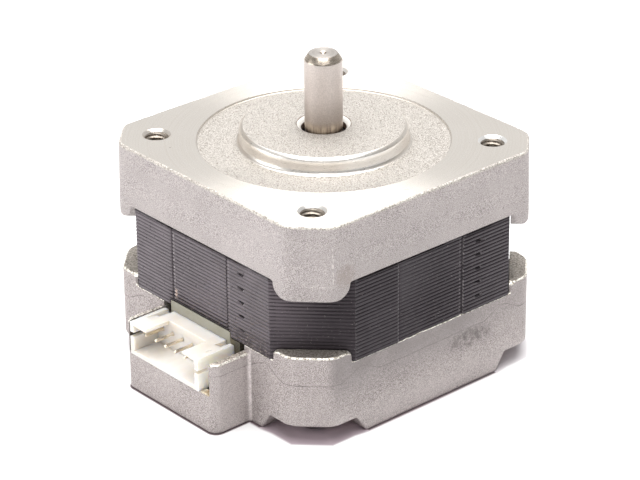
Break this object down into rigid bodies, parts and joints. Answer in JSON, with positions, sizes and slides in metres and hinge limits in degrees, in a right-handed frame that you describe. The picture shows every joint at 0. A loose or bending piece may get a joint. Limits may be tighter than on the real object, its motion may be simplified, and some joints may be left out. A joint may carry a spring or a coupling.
{
  "type": "stepper motor",
  "caption": "Square stepper motor: cast end caps round a laminated stator, centring boss, round output shaft and a side plug socket.",
  "frame": {"origin": "centre of the machined mounting face, on the shaft axis", "axes": "+Z out along the shaft, -Y towards the connector, X and Y along the sides of the square frame"},
  "size_m": [0.0424, 0.0482, 0.0424],
  "materials": {
    "cast_front": "sand-blasted die casting with a machined mounting face",
    "cast_rear": "sand-blasted die casting",
    "stack_paint": "charcoal paint over punched laminations",
    "insulator": "moulded nylon",
    "winding": "enamelled copper wire",
    "shaft_steel": "ground bar",
    "rotor_steel": "ground laminations",
    "magnet": "sintered magnet, plated",
    "spacer_brass": "turned",
    "bearing_steel": "ground",
    "ball_steel": "polished",
    "cage_steel": "pressed",
    "shield_steel": "pressed",
    "spring_steel": "pressed spring steel",
    "board": "glass-fibre board, grey-green",
    "header_plastic": "natural nylon, slightly glossy",
    "contact": "tinned brass",
    "solder": "reflowed solder",
    "screw_steel": "zinc plated"
  },
  "bodies": {
    "housing": {"front_cap": "cast_front", "rear_cap": "cast_rear", "stator_core": "stack_paint", "front_insulator": "insulator", "rear_insulator": "insulator", "coils_phase_a": "winding", "coils_phase_b": "winding", "front_bearing_outer_ring": "bearing_steel", "front_bearing_shields": "shield_steel", "rear_bearing_outer_ring": "bearing_steel", "rear_bearing_shields": "shield_steel", "wave_washer": "spring_steel", "circuit_board": "board", "connector_housing": "header_plastic", "connector_pins": "contact", "solder_joints": "solder", "lead_wires": "winding", "assembly_screws": "screw_steel"},
    "rotor": {"shaft": "shaft_steel", "rotor_cup_front": "rotor_steel", "rotor_cup_rear": "rotor_steel", "rotor_magnet": "magnet", "front_spacer": "spacer_brass", "rear_spacer": "spacer_brass", "front_bearing_inner_ring": "bearing_steel", "rear_bearing_inner_ring": "bearing_steel"},
    "front_ball_set": {"front_bearing_balls": "ball_steel", "front_bearing_cage": "cage_steel"},
    "rear_ball_set": {"rear_bearing_balls": "ball_steel", "rear_bearing_cage": "cage_steel"}
  },
  "joints": [
    {"name": "rotor_spin", "type": "hinge", "parent": "housing", "child": "rotor", "pos_m": [0, 0, 0], "axis": [0, 0, 1], "continuous": true},
    {"name": "front_balls_roll", "type": "hinge", "parent": "housing", "child": "front_ball_set", "pos_m": [0, 0, -0.0019], "axis": [0, 0, 1], "continuous": true},
    {"name": "rear_balls_roll", "type": "hinge", "parent": "housing", "child": "rear_ball_set", "pos_m": [0, 0, -0.02625], "axis": [0, 0, 1], "continuous": true}
  ],
  "couplings": [
    {"joint": "front_balls_roll", "follows": "rotor_spin", "ratio": 0.36762},
    {"joint": "rear_balls_roll", "follows": "rotor_spin", "ratio": 0.36762}
  ]
}
